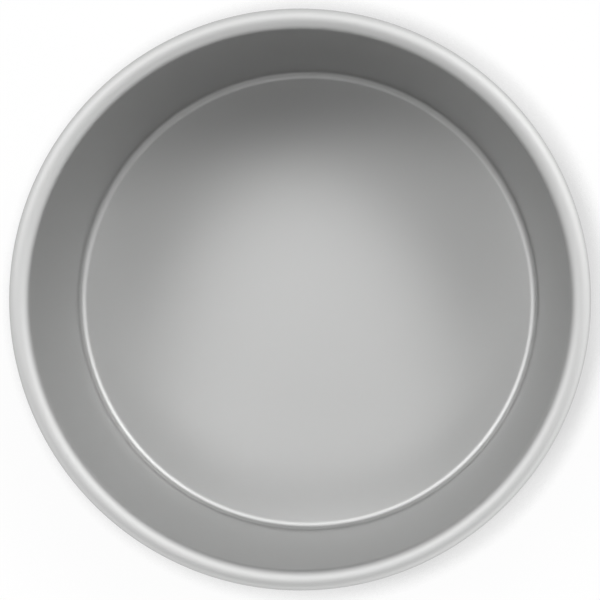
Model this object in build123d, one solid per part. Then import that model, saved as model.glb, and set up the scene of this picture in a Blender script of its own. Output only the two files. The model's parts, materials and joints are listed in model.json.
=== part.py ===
"""Round cake tin, deep and straight-sided, modelled in millimetres.

The tin is one seamless shell of anodised aluminium sheet: a flat base, a tight
corner, a straight wall, and a rim that is rolled outwards and down around a
stiffening wire. The origin is the centre of the base's underside and +Z is up.
"""

from build123d import *

import math
import os

# Driving dimensions of the shell
inner_diameter = 203.2
overall_height = 76.2
sheet_thickness = 1.2
corner_radius = 3.2
bead_diameter = 8.0

# The sheet's cut edge, rolled in under the rim
curl_end_gap = 0.3
cut_edge_round_share = 0.3

# The wire inside the rolled rim
wire_clearance = 0.1
wire_end_gap = 1.0

# Worked out from the sizes above
inner_radius = inner_diameter / 2
outer_radius = inner_radius + sheet_thickness
base_radius = inner_radius - corner_radius
outer_corner_radius = corner_radius + sheet_thickness
corner_centre_height = outer_corner_radius
bead_radius = bead_diameter / 2
curl_inner_radius = bead_radius - sheet_thickness
bead_centre_radius = inner_radius + bead_radius
bead_centre_height = overall_height - bead_radius
wire_radius = curl_inner_radius - wire_clearance


def around_bead(radius, degrees):
    """A point of the section, round the bead's middle: 0 degrees is outwards and 90 is up."""
    angle = math.radians(degrees)
    return (
        bead_centre_radius + radius * math.cos(angle),
        bead_centre_height + radius * math.sin(angle),
    )


def around_corner(radius):
    """The point halfway round the corner between base and wall, at that radius from its middle."""
    reach = radius * math.sqrt(0.5)
    return (base_radius + reach, corner_centre_height - reach)


def curl_end_degrees():
    """Where the sheet stops: the angle at which its outside comes one gap short of the wall."""
    reach = bead_radius - sheet_thickness - curl_end_gap
    return -math.degrees(math.acos(-reach / bead_radius))


def shell_section():
    """Half of the shell's section, from the axis out along the base, up the wall and round the rim."""
    end = curl_end_degrees()
    middle = (180 + end) / 2
    with BuildSketch(Plane.XZ) as section:
        with BuildLine():
            Line((0, 0), (base_radius, 0))
            ThreePointArc(
                (base_radius, 0),
                around_corner(outer_corner_radius),
                (outer_radius, corner_centre_height),
            )
            Line((outer_radius, corner_centre_height), (outer_radius, bead_centre_height))
            ThreePointArc(
                (outer_radius, bead_centre_height),
                around_bead(curl_inner_radius, middle),
                around_bead(curl_inner_radius, end),
            )
            Line(around_bead(curl_inner_radius, end), around_bead(bead_radius, end))
            ThreePointArc(
                around_bead(bead_radius, end),
                around_bead(bead_radius, middle),
                (inner_radius, bead_centre_height),
            )
            Line((inner_radius, bead_centre_height), (inner_radius, corner_centre_height))
            ThreePointArc(
                (inner_radius, corner_centre_height),
                around_corner(corner_radius),
                (base_radius, sheet_thickness),
            )
            Line((base_radius, sheet_thickness), (0, sheet_thickness))
            Line((0, sheet_thickness), (0, 0))
        make_face()
        middle_of_cut = around_bead((curl_inner_radius + bead_radius) / 2, end)
        cut_edge = section.edges().sort_by_distance(middle_of_cut)[0]
        fillet(cut_edge.vertices(), sheet_thickness * cut_edge_round_share)
    return section.sketch


def make_tin_shell():
    """The base, corner, wall and rolled rim, drawn and spun from one disc of sheet."""
    return revolve(shell_section(), axis=Axis.Z)


def make_rim_wire():
    """The stiffening wire, bent into a ring whose two cut ends nearly meet."""
    gap_degrees = math.degrees(wire_end_gap / bead_centre_radius)
    with BuildSketch(Plane.XZ) as section:
        with Locations((bead_centre_radius, bead_centre_height)):
            Circle(wire_radius)
    return revolve(section.sketch, axis=Axis.Z, revolution_arc=360 - gap_degrees)


def main():
    os.makedirs("parts", exist_ok=True)
    export_step(make_tin_shell(), "parts/tin_shell.step")
    export_step(make_rim_wire(), "parts/rim_wire.step")
    print("bead centre radius", bead_centre_radius, "height", bead_centre_height)
    print("curl stops at", round(curl_end_degrees(), 2), "degrees; wire diameter", 2 * wire_radius)


main()
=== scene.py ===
"""Round cake tin in satin anodised aluminium, on a pale studio floor, seen from above.

The shell is drawn up from a disc, as the tin itself is: base, corner, wall and rolled rim,
then given its sheet thickness. Lengths are in metres, and the shell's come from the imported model.
"""

import json
import math

import bpy
from bpy.props import FloatProperty, FloatVectorProperty, IntProperty, PointerProperty
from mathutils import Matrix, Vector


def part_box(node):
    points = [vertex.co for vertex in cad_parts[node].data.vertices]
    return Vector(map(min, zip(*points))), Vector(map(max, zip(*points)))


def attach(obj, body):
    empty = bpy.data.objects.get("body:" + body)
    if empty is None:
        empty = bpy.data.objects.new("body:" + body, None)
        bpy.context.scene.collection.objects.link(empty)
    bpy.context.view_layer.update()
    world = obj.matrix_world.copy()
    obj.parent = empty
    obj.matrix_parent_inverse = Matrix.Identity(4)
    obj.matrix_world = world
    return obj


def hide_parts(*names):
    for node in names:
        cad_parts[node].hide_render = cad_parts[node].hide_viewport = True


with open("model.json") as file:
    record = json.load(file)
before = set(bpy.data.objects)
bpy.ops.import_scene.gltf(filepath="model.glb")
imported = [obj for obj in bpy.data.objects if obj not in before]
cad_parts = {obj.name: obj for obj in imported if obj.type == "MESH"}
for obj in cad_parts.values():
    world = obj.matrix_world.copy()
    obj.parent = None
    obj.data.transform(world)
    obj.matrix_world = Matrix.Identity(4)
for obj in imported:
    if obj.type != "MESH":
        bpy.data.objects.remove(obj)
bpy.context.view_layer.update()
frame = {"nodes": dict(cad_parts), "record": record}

bl_info = {
    "name": "Round Cake Tin",
    "version": (1, 0, 0),
    "blender": (4, 5, 0),
    "location": "3D View > Sidebar > Cake Tin",
    "description": "Models a deep round cake tin in anodised sheet and sets a pale studio round it",
    "category": "Object",
}

MM = 0.001
PANEL_TAB = "Cake Tin"

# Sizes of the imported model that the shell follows
mounts = {mount["name"]: mount for mount in frame["record"]["mounts"]}
shell_low, shell_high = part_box("tin_shell")
packed_inner_radius = mounts["inside_wall"]["dims"]["r_mm"] * MM
packed_wall_length = mounts["inside_wall"]["dims"]["length_mm"] * MM
packed_wall_foot = mounts["inside_wall"]["pos_m"][2] - packed_wall_length / 2
packed_sheet = mounts["inside_floor"]["pos_m"][2]
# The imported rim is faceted, so its narrowest side keeps the drawn rim inside its box
packed_rim_radius = min(shell_high.x, shell_high.y, -shell_low.x, -shell_low.y)

# Rings that the sheet is drawn in
BASE_RINGS = 11
CORNER_RINGS = 14
WALL_RINGS = 10
BEAD_RINGS = 60
# The curl ends in one longer step, which has room for its eased cut edge
LAST_CURL_STEP_DEGREES = 12

# The cut edge's rounding is a share of the sheet's thickness
CUT_ROUND_SHARE = 0.3
CUT_ROUND_STEPS = 3
CUT_EDGE_DEGREES = 60
SMOOTH_DEGREES = 40

# The finish changes over this length where two zones meet
FINISH_BLEND = 0.6 * MM
# Share of the corner's height at which the wall's finish starts
WALL_FINISH_START = 0.28
# Share of the wall's fade of painted shade by which its foot is painted lighter than the base, as a painted
# reflection of the bright base
WALL_FOOT_PAINTED_REFLECTION_SHARE = 0.25
# Heights between which the rim's top, painted lighter as a highlight, takes over from the outside, painted
# darker as shade, as shares of the bead's radius
PAINTED_HIGHLIGHT_START = 0.35
PAINTED_HIGHLIGHT_FULL = 0.9

SURFACE_GROUP = "Satin Metal Surface"
CLOUD_DETAIL = 3.0
GRAIN_DETAIL = 2.0
GRAZING_TINT = (0.8, 0.8, 0.8, 1)
SHEET_GRAIN_HEIGHT = 0.002 * MM
WIRE_GRAIN_HEIGHT = 0.004 * MM

# The floor lies a little under the base, because two faces in one plane flicker
FLOOR_GAP = 0.1 * MM
FLOOR_SIDE = 8.0
FLOOR_ROUGHNESS = 0.9
FLOOR_SPECULAR = 0.1
# Share of the nearby sky that the tin hides from the floor, in the halo round it and at its foot
HALO_HIDDEN = 0.07
FOOT_HIDDEN = 0.30
SHADE_SAMPLES = 16

# Soft lights in the sky: azimuth from +X towards +Y, angle from the zenith, half width, strength
SOFT_LIGHTS = {
    "left key": (145.0, 39.5, 10.5, 8.0),
    "right key": (42.0, 41.0, 8.5, 11.0),
    "back light": (87.0, 47.0, 6.0, 3.3),
    "right side light": (5.0, 48.0, 11.0, 0.6),
    "overhead fill": (268.0, 19.0, 6.0, 4.6),
    "front left reflector": (222.0, 82.0, 20.0, 1.1),
    "front right reflector": (302.0, 84.0, 14.0, 2.0),
    "front reflector": (275.0, 74.0, 14.0, 0.3),
    "right reflector": (350.0, 76.0, 16.0, 1.5),
    "back right reflector": (40.0, 80.0, 14.0, 0.8),
}
# The pale band along the horizon, whose spread is the height at which it has fallen to 37%
HORIZON_STRENGTH = 1.2
HORIZON_SPREAD = 0.30

# The photograph's frame, and where in it the point straight under the camera lies
FRAME_SIDE_PX = 600
FOCAL_PX = 1043.4
NADIR_PX = (354.6, 304.3)
SENSOR_MM = 36.0
NEAREST_SEEN = 10 * MM


class ShellSizes(bpy.types.PropertyGroup):
    """Sizes of the drawn shell."""

    inner_radius: FloatProperty(
        name="Inside Radius", description="Radius of the straight wall, inside",
        default=packed_inner_radius, min=0.01, unit="LENGTH",
    )
    height: FloatProperty(
        name="Height", description="From the base's underside to the top of the rolled rim",
        default=shell_high.z, min=0.01, unit="LENGTH",
    )
    sheet: FloatProperty(
        name="Sheet", description="Thickness of the sheet",
        default=packed_sheet, min=0.0002, unit="LENGTH",
    )
    corner_radius: FloatProperty(
        name="Corner Radius", description="Inside radius where the base meets the wall",
        default=packed_wall_foot - packed_sheet, min=0.0005, unit="LENGTH",
    )
    bead_radius: FloatProperty(
        name="Rim Radius", description="Radius of the rolled rim's own round section",
        default=(packed_rim_radius - packed_inner_radius) / 2, min=0.001, unit="LENGTH",
    )
    curl_gap: FloatProperty(
        name="Curl Gap", description="Gap between the sheet's rolled-in end and the wall",
        default=0.3 * MM, min=0.0, unit="LENGTH",
    )
    segments: IntProperty(
        name="Segments", description="Steps round the tin",
        default=288, min=48,
    )


class FinishSettings(bpy.types.PropertyGroup):
    """Look of the anodised sheet and of the wire."""

    sheet_color: FloatVectorProperty(
        name="Sheet Colour", description="Reflected colour of the silver anodised sheet",
        subtype="COLOR", size=3, min=0.0, max=1.0, default=(0.580, 0.582, 0.579),
    )
    sheet_roughness: FloatProperty(
        name="Sheet Roughness", description="Spread of the base's satin reflection",
        subtype="FACTOR", default=0.60, min=0.0, max=1.0,
    )
    corner_roughness: FloatProperty(
        name="Corner Roughness", description="Spread of the reflection on the burnished corner",
        subtype="FACTOR", default=0.54, min=0.0, max=1.0,
    )
    wall_roughness: FloatProperty(
        name="Wall Roughness", description="Spread of the reflection on the inside wall",
        subtype="FACTOR", default=0.38, min=0.0, max=1.0,
    )
    # Painted shade: the inside wall's colour is darkened towards its top, and its foot is painted lighter
    # as a painted reflection of the base
    wall_painted_shade_fade: FloatProperty(
        name="Wall Fade", description="How much less the inside wall reflects at its top than at its foot",
        subtype="FACTOR", default=0.20, min=0.0, max=1.0,
    )
    rim_roughness: FloatProperty(
        name="Rim Roughness", description="Spread of the reflection on the matt rim and outside",
        subtype="FACTOR", default=0.66, min=0.0, max=1.0,
    )
    # Painted light: the rim's top is painted lighter as a highlight, and the outside darker as painted
    # shade
    rim_top_painted_highlight_tone: FloatProperty(
        name="Rim Tone", description="Reflection of the rim's top, as a share of the base's",
        subtype="FACTOR", default=1.05, min=0.5, max=1.5,
    )
    outside_painted_shade_tone: FloatProperty(
        name="Outside Tone", description="Reflection of the outside, as a share of the base's",
        subtype="FACTOR", default=0.86, min=0.5, max=1.5,
    )
    wire_color: FloatVectorProperty(
        name="Wire Colour", description="Reflected colour of the drawn wire",
        subtype="COLOR", size=3, min=0.0, max=1.0, default=(0.70, 0.70, 0.71),
    )
    wire_roughness: FloatProperty(
        name="Wire Roughness", description="Spread of the wire's reflection",
        subtype="FACTOR", default=0.34, min=0.0, max=1.0,
    )


class StudioSettings(bpy.types.PropertyGroup):
    """Camera and floor."""

    camera_side: FloatProperty(
        name="Camera Side", description="How far the camera stands to the right of the tin's axis",
        default=20.5 * MM, unit="LENGTH",
    )
    camera_front: FloatProperty(
        name="Camera Front", description="How far the camera stands in front of the tin's axis",
        default=1.8 * MM, unit="LENGTH",
    )
    camera_over_rim: FloatProperty(
        name="Camera Over Rim", description="Height of the camera above the middle of the rolled rim",
        default=393.5 * MM, min=0.05, unit="LENGTH",
    )
    floor_color: FloatVectorProperty(
        name="Floor Colour", description="Colour of the studio floor",
        subtype="COLOR", size=3, min=0.0, max=1.0, default=(0.85, 0.85, 0.85),
    )
    floor_white_share: FloatProperty(
        name="Floor White Share", description="Share of plain white in the floor, as seen and as reflected",
        subtype="FACTOR", default=0.92, min=0.0, max=1.0,
    )
    contact_distance: FloatProperty(
        name="Contact Distance", description="How near the tin has to be to shade the white share",
        default=35 * MM, min=0.0, unit="LENGTH",
    )
    halo_shade: FloatProperty(
        name="Halo Shade", description="How much darker the floor is in the halo round the tin",
        subtype="FACTOR", default=0.30, min=0.0, max=1.0,
    )
    foot_shade: FloatProperty(
        name="Foot Shade", description="How much darker the floor is at the tin's foot",
        subtype="FACTOR", default=0.50, min=0.0, max=1.0,
    )


def deselect_all():
    """Clears the selection, because an operator acts on all that is selected."""
    bpy.ops.object.select_all(action="DESELECT")


# Shell
def arc_points(centre, radius, start_degrees, end_degrees, steps):
    """Radius and height of points along an arc, without its first point."""
    points = []
    for step in range(1, steps + 1):
        angle = math.radians(start_degrees + (end_degrees - start_degrees) * step / steps)
        points.append((centre[0] + radius * math.cos(angle), centre[1] + radius * math.sin(angle)))
    return points


def line_points(start, end, steps):
    """Radius and height of points along a straight line, without its first point."""
    return [
        (start[0] + (end[0] - start[0]) * step / steps, start[1] + (end[1] - start[1]) * step / steps)
        for step in range(1, steps + 1)
    ]


def shell_face_line(sizes):
    """The visible face of the sheet, from near the base's middle out, up the wall and round the rim."""
    base_radius = sizes.inner_radius - sizes.corner_radius
    hub = (base_radius / (BASE_RINGS + 1), sizes.sheet)
    corner_centre = (base_radius, sizes.sheet + sizes.corner_radius)
    bead_centre = (sizes.inner_radius + sizes.bead_radius, sizes.height - sizes.bead_radius)
    wall_foot = (sizes.inner_radius, corner_centre[1])
    wall_top = (sizes.inner_radius, bead_centre[1])
    reach = sizes.bead_radius - sizes.sheet - sizes.curl_gap
    curl_end = -math.degrees(math.acos(-reach / sizes.bead_radius))
    last_step = curl_end + LAST_CURL_STEP_DEGREES
    return (
        [hub]
        + line_points(hub, (base_radius, sizes.sheet), BASE_RINGS)
        + arc_points(corner_centre, sizes.corner_radius, -90, 0, CORNER_RINGS)
        + line_points(wall_foot, wall_top, WALL_RINGS)
        + arc_points(bead_centre, sizes.bead_radius, 180, last_step, BEAD_RINGS)
        + arc_points(bead_centre, sizes.bead_radius, last_step, curl_end, 1)
    )


def draw_sheet(line, segments):
    """A disc whose edge is drawn out ring by ring along the line, as the metal is over its former."""
    (radius, height), *rest = line
    deselect_all()
    bpy.ops.mesh.primitive_circle_add(
        vertices=segments, radius=radius, fill_type="TRIFAN", location=(0, 0, height)
    )
    sheet = bpy.context.object
    bpy.ops.object.transform_apply(location=True, rotation=True, scale=True)
    bpy.ops.object.mode_set(mode="EDIT")
    bpy.ops.mesh.select_mode(type="EDGE")
    bpy.ops.mesh.region_to_loop()
    for next_radius, next_height in rest:
        bpy.ops.mesh.extrude_edges_move(TRANSFORM_OT_translate={"value": (0, 0, next_height - height)})
        share = next_radius / radius
        bpy.ops.transform.resize(value=(share, share, 1), center_override=(0, 0, next_height))
        radius, height = next_radius, next_height
    bpy.ops.object.mode_set(mode="OBJECT")
    return sheet


def give_thickness(piece, thickness):
    """Turns the drawn face into sheet metal and eases its cut edge."""
    solidify = piece.modifiers.new("Sheet Thickness", "SOLIDIFY")
    solidify.thickness = thickness
    solidify.offset = -1
    solidify.use_even_offset = True
    bevel = piece.modifiers.new("Cut Edge", "BEVEL")
    bevel.width = thickness * CUT_ROUND_SHARE
    bevel.segments = CUT_ROUND_STEPS
    bevel.limit_method = "ANGLE"
    bevel.angle_limit = math.radians(CUT_EDGE_DEGREES)
    for modifier in (solidify.name, bevel.name):
        bpy.ops.object.modifier_apply(modifier=modifier)


# Materials
def grey(level):
    return (level, level, level, 1)


def new_group(name, inputs, outputs):
    """An empty shader node group with its named sockets, and its two end nodes."""
    group = bpy.data.node_groups.new(name, "ShaderNodeTree")
    for label, kind, default in inputs:
        socket = group.interface.new_socket(label, in_out="INPUT", socket_type=kind)
        socket.default_value = default
    for label, kind in outputs:
        group.interface.new_socket(label, in_out="OUTPUT", socket_type=kind)
    return group, group.nodes.new("NodeGroupInput"), group.nodes.new("NodeGroupOutput")


def math_node(tree, operation, *values):
    """Result of a Math node whose inputs are numbers or other nodes' sockets."""
    node = tree.nodes.new("ShaderNodeMath")
    node.operation = operation
    for socket, value in zip(node.inputs, values):
        if isinstance(value, (int, float)):
            socket.default_value = value
        else:
            tree.links.new(value, socket)
    return node.outputs[0]


def inverted(tree, mask):
    """1 where the mask is 0, and 0 where it is 1."""
    return math_node(tree, "SUBTRACT", 1.0, mask)


def step_node(tree, value, low, high):
    """0 below low, 1 above high and smooth between them."""
    node = tree.nodes.new("ShaderNodeMapRange")
    node.interpolation_type = "SMOOTHSTEP"
    node.inputs["From Min"].default_value = low
    node.inputs["From Max"].default_value = high
    tree.links.new(value, node.inputs["Value"])
    return node.outputs["Result"]


def centred_noise(tree, vector, scale, detail):
    """Noise above and below 0, whose scale comes from a socket."""
    node = tree.nodes.new("ShaderNodeTexNoise")
    node.inputs["Detail"].default_value = detail
    tree.links.new(vector, node.inputs["Vector"])
    tree.links.new(scale, node.inputs["Scale"])
    return math_node(tree, "SUBTRACT", node.outputs["Fac"], 0.5)


def metal_surface_group():
    """Satin metal: slow clouds in tone and gloss, and a fine etched grain in gloss and height."""
    group, start, end = new_group(
        SURFACE_GROUP,
        [
            ("Vector", "NodeSocketVector", (0, 0, 0)),
            ("Color", "NodeSocketColor", grey(0.58)),
            ("Tone", "NodeSocketFloat", 1.0),
            ("Roughness", "NodeSocketFloat", 0.6),
            ("Cloud Scale", "NodeSocketFloat", 18.0),
            ("Cloud Tone", "NodeSocketFloat", 0.02),
            ("Cloud Gloss", "NodeSocketFloat", 0.02),
            ("Grain Scale", "NodeSocketFloat", 2200.0),
            ("Grain Gloss", "NodeSocketFloat", 0.03),
        ],
        [
            ("Color", "NodeSocketColor"),
            ("Roughness", "NodeSocketFloat"),
            ("Height", "NodeSocketFloat"),
        ],
    )
    given = start.outputs
    cloud = centred_noise(group, given["Vector"], given["Cloud Scale"], CLOUD_DETAIL)
    grain = centred_noise(group, given["Vector"], given["Grain Scale"], GRAIN_DETAIL)
    tone = math_node(group, "MULTIPLY_ADD", cloud, given["Cloud Tone"], 1.0)
    tone = math_node(group, "MULTIPLY", tone, given["Tone"])
    toned = group.nodes.new("ShaderNodeVectorMath")
    toned.operation = "SCALE"
    group.links.new(given["Color"], toned.inputs[0])
    group.links.new(tone, toned.inputs["Scale"])
    roughness = math_node(group, "MULTIPLY_ADD", cloud, given["Cloud Gloss"], given["Roughness"])
    roughness = math_node(group, "MULTIPLY_ADD", grain, given["Grain Gloss"], roughness)
    group.links.new(toned.outputs[0], end.inputs["Color"])
    group.links.new(roughness, end.inputs["Roughness"])
    group.links.new(grain, end.inputs["Height"])
    return group


def metal_material(name, color, roughness, grain_height):
    """A metal on Object coordinates, with its own colour and gloss in the shared surface group."""
    material = bpy.data.materials.new(name)
    material.use_nodes = True
    tree = material.node_tree
    shader = tree.nodes["Principled BSDF"]
    shader.inputs["Metallic"].default_value = 1.0
    shader.inputs["Specular Tint"].default_value = GRAZING_TINT
    place = tree.nodes.new("ShaderNodeTexCoord")
    place.name = "Place"
    surface = tree.nodes.new("ShaderNodeGroup")
    surface.name = "Surface"
    surface.node_tree = bpy.data.node_groups.get(SURFACE_GROUP) or metal_surface_group()
    surface.inputs["Color"].default_value = (*color, 1)
    surface.inputs["Roughness"].default_value = roughness
    bump = tree.nodes.new("ShaderNodeBump")
    bump.inputs["Distance"].default_value = grain_height
    tree.links.new(place.outputs["Object"], surface.inputs["Vector"])
    tree.links.new(surface.outputs["Color"], shader.inputs["Base Color"])
    tree.links.new(surface.outputs["Roughness"], shader.inputs["Roughness"])
    tree.links.new(surface.outputs["Height"], bump.inputs["Height"])
    tree.links.new(bump.outputs["Normal"], shader.inputs["Normal"])
    return material


def finish_by_zone(material, sizes, finish):
    """Sets tone and gloss: satin base, burnished corner, smoother wall with painted shade darkening it
    upwards and a painted reflection lightening its foot, and a matt rim with a painted highlight on its top
    and painted shade on its outside.
    """
    tree = material.node_tree
    split = tree.nodes.new("ShaderNodeSeparateXYZ")
    tree.links.new(tree.nodes["Place"].outputs["Object"], split.inputs[0])
    height = split.outputs["Z"]
    squares = [math_node(tree, "MULTIPLY", split.outputs[axis], split.outputs[axis]) for axis in "XY"]
    from_axis = math_node(tree, "SQRT", math_node(tree, "ADD", *squares))
    base_radius = sizes.inner_radius - sizes.corner_radius
    wall_foot = sizes.sheet + sizes.corner_radius * WALL_FINISH_START
    wall_top = sizes.height - sizes.bead_radius

    past_base = step_node(tree, from_axis, base_radius - FINISH_BLEND, base_radius + FINISH_BLEND)
    over_foot = step_node(tree, height, wall_foot - FINISH_BLEND / 2, wall_foot + FINISH_BLEND / 2)
    on_rim = step_node(tree, from_axis, sizes.inner_radius, sizes.inner_radius + FINISH_BLEND)
    on_corner = math_node(tree, "MULTIPLY", past_base, inverted(tree, over_foot))
    on_wall = math_node(tree, "MULTIPLY", past_base, over_foot)
    on_wall = math_node(tree, "MULTIPLY", on_wall, inverted(tree, on_rim))

    roughness = finish.sheet_roughness
    for mask, zone_roughness in (
        (on_corner, finish.corner_roughness),
        (on_wall, finish.wall_roughness),
        (on_rim, finish.rim_roughness),
    ):
        change = zone_roughness - finish.sheet_roughness
        roughness = math_node(tree, "MULTIPLY_ADD", mask, change, roughness)

    # Painted light: the wall's colour is painted lighter at its foot, as a painted reflection of the bright
    # base, and darker upwards as painted shade
    climb = math_node(tree, "SUBTRACT", height, wall_foot)
    fade = -finish.wall_painted_shade_fade / (wall_top - wall_foot)
    wall_painted_light = math_node(tree, "MULTIPLY_ADD", climb, fade, finish.wall_painted_shade_fade * WALL_FOOT_PAINTED_REFLECTION_SHARE)
    # Painted highlight on the rim's top, and painted shade on the outside and the rim's outer flank
    painted_highlight_zone = step_node(
        tree, height,
        wall_top + sizes.bead_radius * PAINTED_HIGHLIGHT_START,
        wall_top + sizes.bead_radius * PAINTED_HIGHLIGHT_FULL,
    )
    painted_highlight_gain = finish.rim_top_painted_highlight_tone - finish.outside_painted_shade_tone
    rim_painted_light = math_node(tree, "MULTIPLY_ADD", painted_highlight_zone, painted_highlight_gain, finish.outside_painted_shade_tone - 1.0)
    tone = math_node(tree, "MULTIPLY_ADD", on_wall, wall_painted_light, 1.0)
    tone = math_node(tree, "MULTIPLY_ADD", on_rim, rim_painted_light, tone)

    surface = tree.nodes["Surface"]
    tree.links.new(tone, surface.inputs["Tone"])
    tree.links.new(roughness, surface.inputs["Roughness"])


# Studio
def contact_shade(tree, studio):
    """Brightness of the floor's white share: full in the open, less in the halo and least at the foot."""
    nearby = tree.nodes.new("ShaderNodeAmbientOcclusion")
    nearby.samples = SHADE_SAMPLES
    nearby.inputs["Distance"].default_value = studio.contact_distance
    shade = tree.nodes.new("ShaderNodeValToRGB")
    shade.color_ramp.interpolation = "EASE"
    stops = shade.color_ramp.elements
    stops[0].color = grey(1.0)
    stops[1].position = FOOT_HIDDEN
    stops[1].color = grey(1.0 - studio.foot_shade)
    stops.new(HALO_HIDDEN).color = grey(1.0 - studio.halo_shade)
    tree.links.new(inverted(tree, nearby.outputs["AO"]), shade.inputs["Fac"])
    return shade.outputs["Color"]


def floor_material(studio):
    """A pale colour under the lamps, and plain white to the camera and in reflections."""
    material = bpy.data.materials.new("Pale Floor")
    material.use_nodes = True
    # As a lamp of its own the floor would draw a faint line on the tin
    material.cycles.emission_sampling = "NONE"
    tree = material.node_tree
    shader = tree.nodes["Principled BSDF"]
    shader.inputs["Base Color"].default_value = (*studio.floor_color, 1)
    shader.inputs["Roughness"].default_value = FLOOR_ROUGHNESS
    shader.inputs["Specular IOR Level"].default_value = FLOOR_SPECULAR
    rays = tree.nodes.new("ShaderNodeLightPath").outputs
    seen = math_node(tree, "MAXIMUM", rays["Is Camera Ray"], rays["Is Glossy Ray"])
    seen = math_node(tree, "MAXIMUM", seen, rays["Is Transmission Ray"])
    white = tree.nodes.new("ShaderNodeEmission")
    tree.links.new(contact_shade(tree, studio), white.inputs["Strength"])
    mix = tree.nodes.new("ShaderNodeMixShader")
    tree.links.new(math_node(tree, "MULTIPLY", seen, studio.floor_white_share), mix.inputs["Fac"])
    tree.links.new(shader.outputs["BSDF"], mix.inputs[1])
    tree.links.new(white.outputs["Emission"], mix.inputs[2])
    tree.links.new(mix.outputs["Shader"], tree.nodes["Material Output"].inputs["Surface"])
    return material


def make_floor(studio):
    """A pale floor that keeps the tin's soft shadow."""
    deselect_all()
    bpy.ops.mesh.primitive_plane_add(size=FLOOR_SIDE, location=(0, 0, -FLOOR_GAP))
    floor = bpy.context.object
    floor.name = floor.data.name = "studio_floor"
    floor.data.materials.append(floor_material(studio))


def sky_direction(azimuth, zenith):
    """Unit vector from the tin towards a place in the sky, given in degrees."""
    azimuth, zenith = math.radians(azimuth), math.radians(zenith)
    return (
        math.sin(zenith) * math.cos(azimuth),
        math.sin(zenith) * math.sin(azimuth),
        math.cos(zenith),
    )


def soft_spot(tree, place, label, centre, half_width):
    """One soft round light: 1 at its centre, falling off smoothly over its half width."""
    dot = tree.nodes.new("ShaderNodeVectorMath")
    dot.label = label
    dot.operation = "DOT_PRODUCT"
    dot.inputs[1].default_value = centre
    tree.links.new(place, dot.inputs[0])
    away = math_node(tree, "SUBTRACT", dot.outputs["Value"], 1.0)
    fall = math_node(tree, "MULTIPLY", away, 1 / math.radians(half_width) ** 2)
    return math_node(tree, "EXPONENT", fall)


def make_light():
    """A dark studio sky with soft round lights in it and a pale band along the horizon."""
    world = bpy.data.worlds.new("Soft Studio")
    world.use_nodes = True
    tree = world.node_tree
    background = tree.nodes["Background"]
    background.inputs["Color"].default_value = grey(1.0)
    place = tree.nodes.new("ShaderNodeTexCoord").outputs["Generated"]
    split = tree.nodes.new("ShaderNodeSeparateXYZ")
    tree.links.new(place, split.inputs[0])
    height = math_node(tree, "DIVIDE", split.outputs["Z"], HORIZON_SPREAD)
    fall = math_node(tree, "MULTIPLY", math_node(tree, "MULTIPLY", height, height), -1.0)
    brightness = math_node(tree, "MULTIPLY", math_node(tree, "EXPONENT", fall), HORIZON_STRENGTH)
    for label, (azimuth, zenith, half_width, strength) in SOFT_LIGHTS.items():
        spot = soft_spot(tree, place, label, sky_direction(azimuth, zenith), half_width)
        brightness = math_node(tree, "MULTIPLY_ADD", spot, strength, brightness)
    tree.links.new(brightness, background.inputs["Strength"])
    bpy.context.scene.world = world


def make_camera(studio, sizes):
    """A camera that looks straight down, with the photograph's framing made by its shift."""
    bead_height = sizes.height - sizes.bead_radius
    deselect_all()
    bpy.ops.object.camera_add(
        location=(studio.camera_side, -studio.camera_front, bead_height + studio.camera_over_rim),
        rotation=(0, 0, 0),
    )
    camera = bpy.context.object
    camera.name = "studio_camera"
    camera.data.sensor_width = SENSOR_MM
    camera.data.lens = FOCAL_PX * SENSOR_MM / FRAME_SIDE_PX
    camera.data.shift_x = (FRAME_SIDE_PX / 2 - NADIR_PX[0]) / FRAME_SIDE_PX
    camera.data.shift_y = (NADIR_PX[1] - FRAME_SIDE_PX / 2) / FRAME_SIDE_PX
    camera.data.clip_start = NEAREST_SEEN
    bpy.context.scene.camera = camera


class CAKETIN_OT_shell(bpy.types.Operator):
    """Draw the tin's shell from one disc and give it its anodised finish"""

    bl_idname = "caketin.make_shell"
    bl_label = "Make Tin Shell"

    def execute(self, context):
        sizes = context.scene.cake_tin_shell
        finish = context.scene.cake_tin_finish
        shell = draw_sheet(shell_face_line(sizes), sizes.segments)
        shell.name = shell.data.name = "anodised_tin_shell"
        give_thickness(shell, sizes.sheet)
        bpy.ops.object.shade_smooth_by_angle(angle=math.radians(SMOOTH_DEGREES))
        sheet_metal = metal_material(
            "Silver Anodised Sheet", finish.sheet_color, finish.sheet_roughness, SHEET_GRAIN_HEIGHT
        )
        finish_by_zone(sheet_metal, sizes, finish)
        shell.data.materials.append(sheet_metal)
        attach(shell, "root")
        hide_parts("tin_shell")
        return {"FINISHED"}


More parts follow.
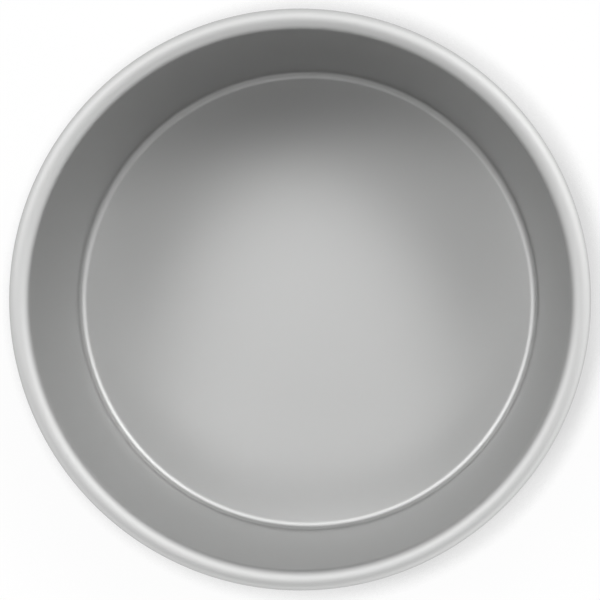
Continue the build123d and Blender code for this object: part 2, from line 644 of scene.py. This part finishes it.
class CAKETIN_OT_wire(bpy.types.Operator):
    """Give the stiffening wire in the rolled rim its drawn metal finish"""

    bl_idname = "caketin.finish_wire"
    bl_label = "Finish Rim Wire"

    def execute(self, context):
        finish = context.scene.cake_tin_finish
        wire = frame["nodes"]["rim_wire"]
        wire_metal = metal_material(
            "Drawn Wire", finish.wire_color, finish.wire_roughness, WIRE_GRAIN_HEIGHT
        )
        for slot in wire.material_slots:
            slot.material = wire_metal
        return {"FINISHED"}


class CAKETIN_OT_studio(bpy.types.Operator):
    """Set the pale floor, the soft light and the camera over the tin"""

    bl_idname = "caketin.set_studio"
    bl_label = "Set Studio"

    def execute(self, context):
        studio = context.scene.cake_tin_studio
        make_floor(studio)
        make_light()
        make_camera(studio, context.scene.cake_tin_shell)
        return {"FINISHED"}


class CAKETIN_PT_panel(bpy.types.Panel):
    """Cake tin tools"""

    bl_idname = "CAKETIN_PT_panel"
    bl_label = "Round Cake Tin"
    bl_space_type = "VIEW_3D"
    bl_region_type = "UI"
    bl_category = PANEL_TAB

    def draw(self, context):
        column = self.layout.column()
        for operator in OPERATORS:
            column.operator(operator.bl_idname)
        for settings in (
            context.scene.cake_tin_shell,
            context.scene.cake_tin_finish,
            context.scene.cake_tin_studio,
        ):
            box = self.layout.box()
            for name in settings.bl_rna.properties.keys():
                if name not in ("rna_type", "name"):
                    box.prop(settings, name)


OPERATORS = (CAKETIN_OT_shell, CAKETIN_OT_wire, CAKETIN_OT_studio)
SETTINGS = (ShellSizes, FinishSettings, StudioSettings)


def register():
    for cls in (*SETTINGS, *OPERATORS, CAKETIN_PT_panel):
        bpy.utils.register_class(cls)
    bpy.types.Scene.cake_tin_shell = PointerProperty(type=ShellSizes)
    bpy.types.Scene.cake_tin_finish = PointerProperty(type=FinishSettings)
    bpy.types.Scene.cake_tin_studio = PointerProperty(type=StudioSettings)


def unregister():
    del bpy.types.Scene.cake_tin_studio
    del bpy.types.Scene.cake_tin_finish
    del bpy.types.Scene.cake_tin_shell
    for cls in reversed((*SETTINGS, *OPERATORS, CAKETIN_PT_panel)):
        bpy.utils.unregister_class(cls)


def main():
    register()
    bpy.ops.caketin.make_shell()
    bpy.ops.caketin.finish_wire()
    bpy.ops.caketin.set_studio()
    bpy.context.scene.view_settings.view_transform = "Standard"


if __name__ == "__main__":
    main()
